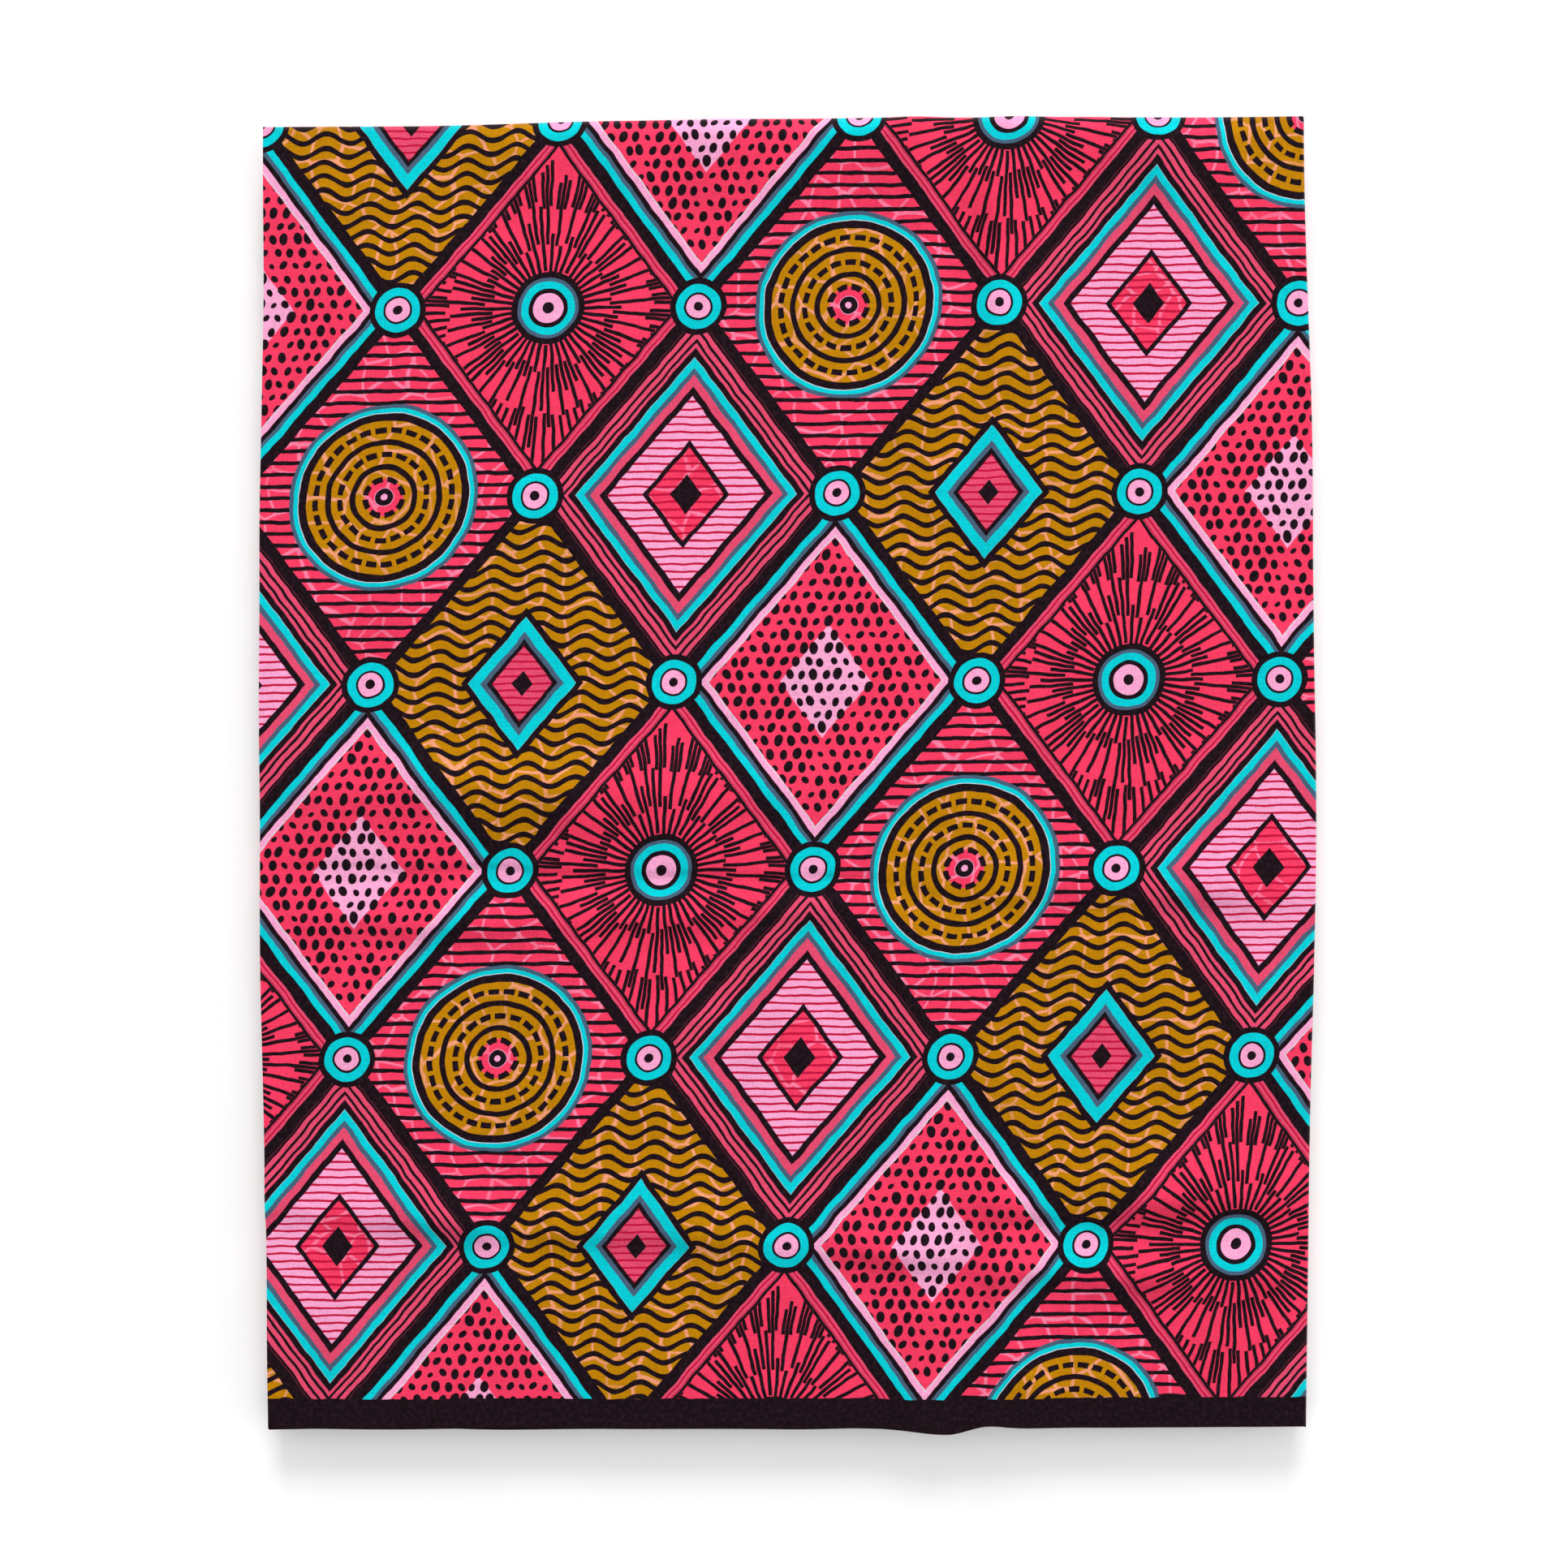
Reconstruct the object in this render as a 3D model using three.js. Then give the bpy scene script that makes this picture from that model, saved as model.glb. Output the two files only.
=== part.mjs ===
// A full piece of printed cotton cloth, folded for sale and lying flat. The cloth is doubled, selvedge to
// selvedge, and then plaited to and fro, so that it makes a low stack of doubled panels. Millimetres, +Z up.
// The selvedges face -Y, the fold along the middle of the cloth faces +Y, and the cloth turns from panel to
// panel at -X and +X.
import * as THREE from "three";
import { mergeVertices } from "three/addons/utils/BufferGeometryUtils.js";

// Driving sizes.
const PANEL_LENGTH = 460; // one plait, from turn to turn, along X
const PANEL_WIDTH = 575; // half the width of the cloth, along Y
const PANEL_COUNT = 12; // doubled panels in the stack, number 1 on top
const PANEL_THICK = 1.0; // two plies and the air between them
const PANEL_GAP = 0.3; // between one doubled panel and the next
const TAIL_LENGTH = 12; // how far the top and bottom panels run on past their turns
const SLOT_DEPTH = 1.8; // how far in the hidden panels are seen to be apart
const PLY_NOTCH = 0.6; // depth of the notch between the two selvedges of a panel
const CROWN = 1.4; // rise of the top panel away from its edges
const CROWN_POWER = 8; // how late the crown falls to the edges
const FLAT_AT_TURN = 16; // width of the flat strip of the top panel along its turn

const PITCH = PANEL_THICK + PANEL_GAP;
const HALF_LENGTH = PANEL_LENGTH / 2;
const HALF_WIDTH = PANEL_WIDTH / 2;
const HALF_THICK = PANEL_THICK / 2;
const TURN_RADIUS = PITCH / 2; // of the middle of the wall, where one panel turns into the next
const TURN_REACH = TURN_RADIUS + HALF_THICK; // of its outer face
const BLUNT = 1.2; // a hidden fold or turn is this much blunter than half round

// How far each side of the stack stands out from the plain rectangle: at its start, which is its end nearer
// -X or -Y, at its other end, and the bow between them.
const SIDES = {
  left: { start: -1.6, end: 0.4, bow: 2.8 },
  right: { start: -2.4, end: -2.7, bow: 4.8 },
  front: { start: -0.2, end: -1.0, bow: 0.3 },
  back: { start: -2.2, end: 2.4, bow: 0.8 },
};
const BOW_POWER = 1.5; // how much of a bow is near the middle of its side

// The top panel's front edge pushes out at the end of the front fold, and draws in beside it.
const FRONT_BULGES = [
  { x: 71, out: 2.5, reachLeft: 17, reachRight: 8 },
  { x: 87, out: -1.7, reachLeft: 5.5, reachRight: 11 },
];
const BULGE_DEPTH = 9; // how far it carries on from the edge

// Creases and swells of the top panel. path has the points that each one follows, as X, Y and its height
// there, or its depth where that is negative. reach is the half-width of its slope, on the left and on the
// right of the path.
const CREASES = [
  {
    name: "back fold, left side",
    reach: [9, 13],
    path: [[61, 292, 2], [62, 240, 2.4], [62, 195, 2.6], [63, 100, 0.9]],
  },
  {
    name: "back fold, right side",
    reach: [16, 10],
    path: [[92, 292, 2.6], [93, 240, 3.8], [94, 195, 4.2], [94, 100, 1.2]],
  },
  {
    name: "back swell",
    reach: [6, 30],
    path: [
      [-150, 279, 0.8], [-66, 281, 3.6], [-10, 281, 4.8], [52, 283, 4.4],
      [86, 283, 2.6], [112, 282, 5.6], [150, 282, 5.2], [204, 281, 2.4],
    ],
  },
  {
    name: "front fold, left side",
    reach: [12, 10],
    path: [[61, -150, 0.4], [58, -215, 1.8], [55, -292, 3]],
  },
  {
    name: "front fold, right side",
    reach: [15, 7],
    path: [[93, -150, 0.6], [92, -215, 2.6], [88, -292, 3.6]],
  },
  {
    name: "waist swell",
    reach: [14, 17],
    path: [[-200, -5, 3.4], [-154, -6, 5.2], [-118, -8, 4], [-60, -8, 4.6], [34, -7, 3]],
  },
  {
    name: "waist dip",
    reach: [2.8, 8],
    path: [
      [-222, -42, -1.1], [-150, -43, -1.7], [-60, -45, -1.4], [-12, -46, -1.8],
      [34, -46, -1.3], [84, -58, -0.9], [120, -60, -0.4], [232, -61, -0.5],
    ],
  },
  {
    name: "waist ridge",
    reach: [9, 7],
    path: [[-205, -64, 1.8], [-130, -65, 2.4], [10, -60, 2.2], [44, -62, 1.2]],
  },
  { name: "waist rise, right", reach: [16, 10], path: [[86, -50, 1.2], [130, -49, 2.2], [226, -50, 2.2]] },
  {
    name: "low ridge, left",
    reach: [15, 7],
    path: [
      [-232, -189, 3.2], [-170, -194, 2.8], [-122, -198, 3.8],
      [-70, -200, 3.2], [10, -206, 4], [62, -209, 5],
    ],
  },
  {
    name: "low swell, right",
    reach: [20, 9],
    path: [[84, -186, 2], [130, -187, 3.6], [170, -186, 4.4], [228, -185, 3.8]],
  },
  { name: "low dip, right", reach: [3, 6], path: [[88, -198, -0.4], [150, -197, -0.6], [226, -195, -0.5]] },
  { name: "low ridge, right", reach: [10, 8], path: [[88, -217, 3], [160, -219, 3.8], [228, -220, 2.8]] },
  { name: "corner ridge", reach: [5, 7], path: [[206, -276, 0.8], [224, -270, 1.7]] },
  { name: "small ridge", reach: [5, 8], path: [[96, -262, 1.2], [112, -270, 1.6]] },
];

// Where the top panel's surface is divided: steps of no more than "step" between from and to.
const TOP_LENGTH_BANDS = [
  { from: -HALF_LENGTH, to: -206, step: 12 },
  { from: -206, to: 46, step: 42 },
  { from: 46, to: 112, step: 6.7 },
  { from: 112, to: 200, step: 32 },
  { from: 200, to: HALF_LENGTH - TURN_REACH, step: 10 },
];
const TOP_WIDTH_BANDS = [
  { from: -HALF_WIDTH, to: -238, step: 18 },
  { from: -238, to: -174, step: 6 },
  { from: -174, to: -76, step: 34 },
  { from: -76, to: -28, step: 4 },
  { from: -28, to: 22, step: 10 },
  { from: 22, to: 214, step: 64 },
  { from: 214, to: 274, step: 15 },
  { from: 274, to: HALF_WIDTH - HALF_THICK, step: 7 },
];
const BOTTOM_LENGTH_BANDS = [{ from: -HALF_LENGTH, to: HALF_LENGTH - TURN_REACH, step: 58 }];
const BOTTOM_WIDTH_BANDS = [{ from: -HALF_WIDTH, to: HALF_WIDTH - HALF_THICK, step: 58 }];
const HIDDEN_STEP = 66; // between the points along the hidden panels' edges

// How far each hidden panel has slipped in, at its selvedges and at its middle fold.
const HIDDEN_PANELS = [
  { panel: 2, selvedge: 0.9, fold: 0.8 },
  { panel: 3, selvedge: 1.6, fold: 0.3 },
  { panel: 4, selvedge: 0.5, fold: 1.1 },
  { panel: 5, selvedge: 1.3, fold: 0.6 },
  { panel: 6, selvedge: 2.1, fold: 0.9 },
  { panel: 7, selvedge: 0.8, fold: 0.4 },
  { panel: 8, selvedge: 1.5, fold: 1.2 },
  { panel: 9, selvedge: 0.6, fold: 0.7 },
  { panel: 10, selvedge: 1.8, fold: 0.5 },
  { panel: 11, selvedge: 1.1, fold: 1.0 },
];

// How far each hidden turn has slipped in. It joins the panel "upper" to the one below.
const HIDDEN_TURNS = [
  { upper: 2, side: "left", slip: 1.0 },
  { upper: 3, side: "right", slip: 1.4 },
  { upper: 4, side: "left", slip: 0.5 },
  { upper: 5, side: "right", slip: 0.7 },
  { upper: 6, side: "left", slip: 1.5 },
  { upper: 7, side: "right", slip: 1.7 },
  { upper: 8, side: "left", slip: 0.8 },
  { upper: 9, side: "right", slip: 1.1 },
  { upper: 10, side: "left", slip: 1.3 },
];

// Colours of the print: the ground of the cloth, and its dark selvedges, which are what shows of the hidden
// panels.
const CRIMSON = 0xea4669;
const DARK_SELVEDGE = 0x4a2a30;
const CLOTH_ROUGHNESS = 0.7;

const { lerp, clamp, smoothstep, degToRad } = THREE.MathUtils;

// Height of a panel's underside. Panel 12 lies on the ground.
const panelBase = (panel) => (PANEL_COUNT - panel) * PITCH;

// How far a side stands out at a share of the way along it.
function standOff(side, share) {
  const bow = side.bow * Math.max(0, 4 * share * (1 - share)) ** BOW_POWER;
  return lerp(side.start, side.end, share) + bow;
}

// Moves a point of the plain rectangle to its place in the stack's true outline.
function place(plainX, plainY) {
  const alongX = (plainX + HALF_LENGTH) / PANEL_LENGTH;
  const alongY = (plainY + HALF_WIDTH) / PANEL_WIDTH;
  const left = -standOff(SIDES.left, alongY);
  const right = standOff(SIDES.right, alongY);
  const front = -standOff(SIDES.front, alongX);
  const back = standOff(SIDES.back, alongX);
  return { x: plainX + lerp(left, right, alongX), y: plainY + lerp(front, back, alongY) };
}

// A bell-shaped share, 1 at the middle and nothing a few reaches away.
const bell = (distance, reach) => Math.exp(-((distance / reach) ** 2));

// Height that one crease gives to a point, from the stretch of its path that is nearest. It dies away past
// its ends as it does across.
function creaseHeight({ reach, path }, x, y) {
  const stretches = path.slice(1).map(([toX, toY, toRise], index) => {
    const [fromX, fromY, fromRise] = path[index];
    const [runX, runY] = [toX - fromX, toY - fromY];
    const length = Math.hypot(runX, runY);
    const along = ((x - fromX) * runX + (y - fromY) * runY) / length;
    const across = ((y - fromY) * runX - (x - fromX) * runY) / length;
    const past = Math.max(0, -along, along - length);
    const rise = lerp(fromRise, toRise, clamp(along / length, 0, 1));
    return { across, past, rise, distance: Math.hypot(across, past) };
  });
  const nearer = (one, other) => (other.distance < one.distance ? other : one);
  const { across, past, rise } = stretches.reduce(nearer);
  const [left, right] = reach;
  return rise * bell(across, across > 0 ? left : right) * bell(past, Math.max(left, right));
}

// Height of the top panel above its lowest level.
function topRelief(plainX, x, y) {
  const acrossLength = 1 - Math.min(1, Math.abs(x) / HALF_LENGTH) ** CROWN_POWER;
  const acrossWidth = 1 - Math.min(1, Math.abs(y) / HALF_WIDTH) ** CROWN_POWER;
  const creases = CREASES.reduce((sum, crease) => sum + creaseHeight(crease, x, y), 0);
  const clearOfTurn = smoothstep(HALF_LENGTH - plainX, TURN_REACH, FLAT_AT_TURN);
  return Math.max(0, CROWN * acrossLength * acrossWidth + creases) * clearOfTurn;
}

// How far a point of the top panel is pushed out to the front.
function topBulge(x, plainY) {
  const pushed = FRONT_BULGES.reduce((sum, { x: middleX, out, reachLeft, reachRight }) => {
    return sum + out * bell(x - middleX, x < middleX ? reachLeft : reachRight);
  }, 0);
  return pushed * bell(plainY + HALF_WIDTH, BULGE_DEPTH);
}

// Values from the first band's start to the last band's end.
function linesOf(bands) {
  const lines = bands.flatMap(({ from, to, step }) => {
    const count = Math.ceil((to - from) / step);
    return Array.from({ length: count }, (_, index) => lerp(from, to, index / count));
  });
  return [...lines, bands.at(-1).to];
}

// A closed solid through rings of the same number of points. Each ring runs anticlockwise, seen from the last
// one.
function loft(rings, triangulateCap) {
  const count = rings[0].length;
  const triangles = [];
  for (let ring = 0; ring + 1 < rings.length; ring += 1) {
    for (let point = 0; point < count; point += 1) {
      const [a, b] = [ring * count + point, ring * count + ((point + 1) % count)];
      triangles.push([a, b, b + count], [a, b + count, a + count]);
    }
  }
  const lastRing = (rings.length - 1) * count;
  for (const [a, b, c] of triangulateCap(count)) {
    triangles.push([a, c, b], [lastRing + a, lastRing + b, lastRing + c]);
  }
  const geometry = new THREE.BufferGeometry();
  geometry.setAttribute("position", new THREE.Float32BufferAttribute(rings.flat(2), 3));
  geometry.setIndex(triangles.flat());
  const solid = mergeVertices(geometry);
  solid.computeVertexNormals();
  return solid;
}

// Closes a wall's end, where point k of the ring lies over point count - k. It fans out from the notch to the
// first points along the two faces, and goes on as a strip between them to the fold.
function wallEnd(count) {
  const fan = [1, 2, 3, count - 3, count - 2, count - 1];
  const triangles = fan.slice(1).map((point, index) => [0, fan[index], point]);
  for (let near = 3; near < count / 2; near += 1) {
    const [nearOver, far, farOver] = [count - near, near + 1, count - near - 1];
    if (far !== farOver) triangles.push([near, far, farOver]);
    triangles.push([near, farOver, nearOver]);
  }
  return triangles;
}

// Section of a doubled panel, across the cloth: where each point is in the panel's width, and its level, from
// -1 on the lower face to 1 on the upper one. The two selvedges have a notch between them, and the middle
// fold is half round.
function panelSection(widthLines) {
  const faces = widthLines.map((plainY) => ({ plainY }));
  const lower = faces.map((point) => ({ ...point, level: -1 }));
  const upper = faces.map((point) => ({ ...point, level: 1 })).reverse();
  const fold = [-45, 0, 45].map(degToRad).map((angle) => ({
    plainY: HALF_WIDTH - HALF_THICK + HALF_THICK * Math.cos(angle),
    level: Math.sin(angle),
  }));
  const notch = { plainY: -HALF_WIDTH + PLY_NOTCH, level: 0 };
  const lowerPly = { plainY: -HALF_WIDTH, level: -0.2 };
  const upperPly = { plainY: -HALF_WIDTH, level: 0.2 };
  return [notch, lowerPly, ...lower, ...fold, ...upper, upperPly];
}

// A doubled panel as a wall, from its free end at -X to its turn at +X, round it and on for the length of its
// tail. turn is -1 where the cloth turns down to the next panel, and 1 where it turns up.
function outerPanel({ panel, turn, lengthBands, widthBands, relief, bulge }) {
  const section = panelSection(linesOf(widthBands));
  const middle = panelBase(panel) + HALF_THICK;
  const turnX = HALF_LENGTH - TURN_REACH;
  const stations = [
    ...linesOf(lengthBands).map((runX) => ({ runX, angle: 0 })),
    ...[36, 72, 108, 144, 180].map((degrees) => ({ runX: turnX, angle: degToRad(degrees) })),
    { runX: turnX - TAIL_LENGTH, angle: Math.PI },
  ];
  const rings = stations.map(({ runX, angle }) =>
    section.map(({ plainY, level }) => {
      const radius = TURN_RADIUS - turn * level * HALF_THICK;
      const plainX = runX + radius * Math.sin(angle);
      const { x, y } = place(plainX, plainY);
      const rise = angle === 0 ? relief(plainX, x, y) : 0;
      return [x, y - bulge(x, plainY), middle + turn * (TURN_RADIUS - radius * Math.cos(angle)) + rise];
    }),
  );
  return loft(rings, wallEnd);
}

// How far a fold of this radius has drawn back at a height above or below its middle.
const drawnBack = (radius, height) => radius - Math.sqrt(radius ** 2 - height ** 2);

// How far in a hidden panel is on its left or right side, at a height from its own middle. There it turns
// into the panel above or below, or, next to the top and bottom panels, it meets the end of their tail. The
// slot beside a tail goes in as far as the tail does.
function sideInset(panel, side, height, slot) {
  const turnOf = (joined) =>
    HIDDEN_TURNS.find((row) => row.side === side && (row.upper === joined || row.upper + 1 === joined));
  const turn = turnOf(panel);
  const acrossSlot = panel - Math.sign(height);
  if (!turn || (slot && !turnOf(acrossSlot))) return TURN_REACH + TAIL_LENGTH + PANEL_GAP;
  const turnsDown = turn.upper === panel;
  const fromTurn = turnsDown ? height + TURN_RADIUS : height - TURN_RADIUS;
  const insideTurn = Math.abs(fromTurn) < HALF_THICK;
  const depth = slot && !insideTurn ? SLOT_DEPTH : 0;
  return turn.slip + drawnBack(TURN_REACH * BLUNT, fromTurn) + depth;
}

// The hidden panels' edges at each height: below, at the middle and at the top of every panel, and in the
// slots.
function hiddenLevels() {
  const levels = [];
  for (const { panel, selvedge, fold } of [...HIDDEN_PANELS].reverse()) {
    const steps = [
      { height: -HALF_THICK, slot: panel < PANEL_COUNT - 1 },
      { height: -HALF_THICK, slot: false },
      { height: 0, slot: false },
      { height: HALF_THICK, slot: false },
      { height: HALF_THICK, slot: panel > 2 },
    ].filter(({ slot }, index) => slot || (index > 0 && index < 4));
    for (const { height, slot } of steps) {
      const depth = slot ? SLOT_DEPTH : 0;
      levels.push({
        z: panelBase(panel) + HALF_THICK + height,
        left: sideInset(panel, "left", height, slot),
        right: sideInset(panel, "right", height, slot),
        front: selvedge + depth + (height === 0 ? PLY_NOTCH : 0),
        back: fold + depth + drawnBack(HALF_THICK * BLUNT, height),
      });
    }
  }
  return levels;
}

// One level of the hidden panels as a ring of points, anticlockwise from above.
function hiddenRing({ z, left, right, front, back }) {
  const [west, east] = [left - HALF_LENGTH, HALF_LENGTH - right];
  const [south, north] = [front - HALF_WIDTH, HALF_WIDTH - back];
  const alongX = Math.ceil(PANEL_LENGTH / HIDDEN_STEP);
  const alongY = Math.ceil(PANEL_WIDTH / HIDDEN_STEP);
  const run = (count, fromX, fromY, toX, toY) =>
    Array.from({ length: count }, (_, index) => {
      const { x, y } = place(lerp(fromX, toX, index / count), lerp(fromY, toY, index / count));
      return [x, y, z];
    });
  return [
    ...run(alongX, west, south, east, south),
    ...run(alongY, east, south, east, north),
    ...run(alongX, east, north, west, north),
    ...run(alongY, west, north, west, south),
  ];
}

// Closes the hidden panels above and below, with four-sided faces across from the front edge to the back one.
function hiddenEnd(count) {
  const alongX = Math.ceil(PANEL_LENGTH / HIDDEN_STEP);
  const alongY = count / 2 - alongX;
  const triangles = [];
  for (let step = 0; step < alongX; step += 1) {
    const [front, back] = [step, alongX + alongY + alongX - step];
    triangles.push([front, front + 1, back - 1], [front, back - 1, back]);
  }
  for (let step = 1; step < alongY; step += 1) {
    const [right, left] = [alongX + step, (count - step) % count];
    triangles.push([alongX, right, right + 1], [0, left - 1, left]);
  }
  return triangles;
}

function clothMesh(name, geometry, colour) {
  const finish = { color: colour, roughness: CLOTH_ROUGHNESS, metalness: 0 };
  const material = new THREE.MeshStandardMaterial(finish);
  const mesh = new THREE.Mesh(geometry, material);
  mesh.name = name;
  return mesh;
}

function topPanel() {
  const geometry = outerPanel({
    panel: 1,
    turn: -1,
    lengthBands: TOP_LENGTH_BANDS,
    widthBands: TOP_WIDTH_BANDS,
    relief: topRelief,
    bulge: topBulge,
  });
  return clothMesh("top_panel", geometry, CRIMSON);
}

function foldedLayers() {
  return clothMesh("folded_layers", loft(hiddenLevels().map(hiddenRing), hiddenEnd), DARK_SELVEDGE);
}

function bottomPanel() {
  const geometry = outerPanel({
    panel: PANEL_COUNT,
    turn: 1,
    lengthBands: BOTTOM_LENGTH_BANDS,
    widthBands: BOTTOM_WIDTH_BANDS,
    relief: () => 0,
    bulge: () => 0,
  });
  return clothMesh("bottom_panel", geometry, CRIMSON);
}

// The origin lies under the middle of the whole, on the ground.
const cloth = new THREE.Group();
cloth.add(topPanel(), foldedLayers(), bottomPanel());
const middle = new THREE.Box3().setFromObject(cloth).getCenter(new THREE.Vector3());
cloth.position.set(-middle.x, -middle.y, 0);

export default cloth;
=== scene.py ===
import math
from collections import namedtuple

import bpy
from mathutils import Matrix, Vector, noise


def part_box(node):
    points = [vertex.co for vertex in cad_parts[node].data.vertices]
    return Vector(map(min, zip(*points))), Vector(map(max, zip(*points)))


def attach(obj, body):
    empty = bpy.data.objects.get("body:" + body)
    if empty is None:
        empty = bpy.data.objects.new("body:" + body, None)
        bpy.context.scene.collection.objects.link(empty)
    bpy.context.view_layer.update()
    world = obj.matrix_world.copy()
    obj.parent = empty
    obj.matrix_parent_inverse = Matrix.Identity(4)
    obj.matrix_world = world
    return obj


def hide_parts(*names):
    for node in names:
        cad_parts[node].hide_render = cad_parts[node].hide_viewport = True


# A six-yard piece of wax print cotton, doubled selvedge to selvedge and plaited flat for sale. Sizes are in
# millimetres until a mesh or a lamp is made. +X is to the turn of the top panel, +Y to the middle fold.

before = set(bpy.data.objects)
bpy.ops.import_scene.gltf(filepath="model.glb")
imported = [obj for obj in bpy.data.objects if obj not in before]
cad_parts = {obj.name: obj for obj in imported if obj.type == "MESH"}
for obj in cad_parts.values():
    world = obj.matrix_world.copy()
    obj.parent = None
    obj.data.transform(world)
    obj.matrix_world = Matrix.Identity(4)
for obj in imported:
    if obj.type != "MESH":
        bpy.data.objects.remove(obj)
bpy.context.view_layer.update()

MM = 0.001

# The folded piece.
PANEL_LENGTH = 460.0  # one plait
PANEL_WIDTH = 575.0  # half the width of the cloth
PANELS = 12
PANEL_THICK = 1.0  # two plies with air between them
PANEL_GAP = 0.3
PLY_THICK = 0.4
TAIL_LENGTH = 12.0  # the outer panels run on this far past their turns

PITCH = PANEL_THICK + PANEL_GAP
PLY_OFFSET = (PANEL_THICK - PLY_THICK) / 2  # from the middle of a panel to the middle of a ply
HALF_LENGTH = PANEL_LENGTH / 2
HALF_WIDTH = PANEL_WIDTH / 2
TURN_RADIUS = PITCH / 2
TURN_REACH = TURN_RADIUS + PANEL_THICK / 2
TURN_X = HALF_LENGTH - TURN_REACH
TAIL_END_X = TURN_X - TAIL_LENGTH
FOLD_Y = HALF_WIDTH - PANEL_THICK / 2  # centre of the middle fold's curve
FOLD_ARC = math.pi / 2 * PLY_OFFSET  # half of the cloth taken up by that curve

# How far each side stands out from the plain rectangle: at its start, which is its end nearer -X or -Y, at
# its other end, and the bow between them.
SIDES = {
    "left": {"start": -1.6, "end": 0.4, "bow": 2.8},
    "right": {"start": -2.4, "end": -2.7, "bow": 4.8},
    "front": {"start": -0.2, "end": -1.0, "bow": 0.3},
    "back": {"start": -2.2, "end": 2.4, "bow": 0.8},
}
BOW_POWER = 1.5  # how much of a bow is near the middle of its side
# The top panel's front edge pushes out at the end of the front fold, and draws in beside it.
FRONT_BULGES = (
    {"x": 71.0, "out": 2.5, "reach_left": 17.0, "reach_right": 8.0},
    {"x": 87.0, "out": -1.7, "reach_left": 5.5, "reach_right": 11.0},
)
BULGE_DEPTH = 9.0  # how far it carries on from the edge
CROWN = 1.4  # rise of the top panel away from its edges
CROWN_POWER = 8  # how late the crown falls to the edges
BROAD_RISE = 0.35  # of the gentle unevenness that pressing has left, and of the finer one on it
FINE_RISE = 0.22
FLAT_AT_TURN = 16.0  # width of the flat strip of a panel along its turn
GAPE = 0.35  # between the plies at the front selvedge, give or take as much, and how far in it goes
GAPE_REACH = 7.0
CURL = 0.3  # of the cut end, give or take as much, and how far in it goes
CURL_REACH = 6.0
LIFT_REACH = 14.0  # how far in the lower ply follows the upper one

# Creases and swells of the top panel. path has each one's points as X, Y and rise, and reach says how far
# its slope goes on the left and on the right as one follows the path.
CREASES = (
    {
        "name": "back fold, left side",
        "reach": (9, 13),
        "path": ((61, 292, 2.0), (62, 240, 2.4), (62, 195, 2.6), (63, 100, 0.9)),
    },
    {
        "name": "back fold, right side",
        "reach": (16, 10),
        "path": ((92, 292, 2.6), (93, 240, 3.8), (94, 195, 4.2), (94, 100, 1.2)),
    },
    {
        "name": "back swell",
        "reach": (6, 30),
        "path": (
            (-150, 279, 0.8), (-66, 281, 3.6), (-10, 281, 4.8), (52, 283, 4.4),
            (86, 283, 2.6), (112, 282, 5.6), (150, 282, 5.2), (204, 281, 2.4),
        ),
    },
    {
        "name": "front fold, left side",
        "reach": (12, 10),
        "path": ((61, -150, 0.4), (58, -215, 1.8), (55, -292, 3.0)),
    },
    {
        "name": "front fold, right side",
        "reach": (15, 7),
        "path": ((93, -150, 0.6), (92, -215, 2.6), (88, -292, 3.6)),
    },
    {
        "name": "waist swell",
        "reach": (14, 17),
        "path": ((-200, -5, 3.4), (-154, -6, 5.2), (-118, -8, 4.0), (-60, -8, 4.6), (34, -7, 3.0)),
    },
    {
        "name": "waist dip",
        "reach": (2.8, 8),
        "path": (
            (-222, -42, -1.1), (-150, -43, -1.7), (-60, -45, -1.4), (-12, -46, -1.8), (34, -46, -1.3),
            (84, -58, -0.9), (120, -60, -0.4), (232, -61, -0.5),
        ),
    },
    {
        "name": "waist ridge",
        "reach": (9, 7),
        "path": ((-205, -64, 1.8), (-130, -65, 2.4), (10, -60, 2.2), (44, -62, 1.2)),
    },
    {
        "name": "waist rise, right",
        "reach": (16, 10),
        "path": ((86, -50, 1.2), (130, -49, 2.2), (226, -50, 2.2)),
    },
    {
        "name": "low ridge, left",
        "reach": (15, 7),
        "path": (
            (-232, -189, 3.2), (-170, -194, 2.8), (-122, -198, 3.8),
            (-70, -200, 3.2), (10, -206, 4.0), (62, -209, 5.0),
        ),
    },
    {
        "name": "low swell, right",
        "reach": (20, 9),
        "path": ((84, -186, 2.0), (130, -187, 3.6), (170, -186, 4.4), (228, -185, 3.8)),
    },
    {
        "name": "low dip, right",
        "reach": (3, 6),
        "path": ((88, -198, -0.4), (150, -197, -0.6), (226, -195, -0.5)),
    },
    {
        "name": "low ridge, right",
        "reach": (10, 8),
        "path": ((88, -217, 3.0), (160, -219, 3.8), (228, -220, 2.8)),
    },
    {"name": "corner ridge", "reach": (5, 7), "path": ((206, -276, 0.8), (224, -270, 1.7))},
    {"name": "small ridge", "reach": (5, 8), "path": ((96, -262, 1.2), (112, -270, 1.6))},
)
# Where the bottom panel's underside has been pressed up, in the same way.
UNDER_CREASES = (
    {
        "name": "long ridge",
        "reach": (6, 11),
        "path": ((-205, 96, 0.22), (-20, 104, 0.26), (196, 88, 0.18)),
    },
    {
        "name": "front ridge",
        "reach": (9, 5),
        "path": ((-214, -171, 0.2), (-60, -178, 0.26), (122, -169, 0.22)),
    },
    {"name": "cross ridge", "reach": (7, 7), "path": ((-38, 280, 0.25), (-44, 170, 0.16), (-41, -60, 0.2))},
)
CREASE_WANDER = 2.4  # how far a crease strays from its path
CREASE_SHARE = 0.75  # how much its height varies along it

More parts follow.
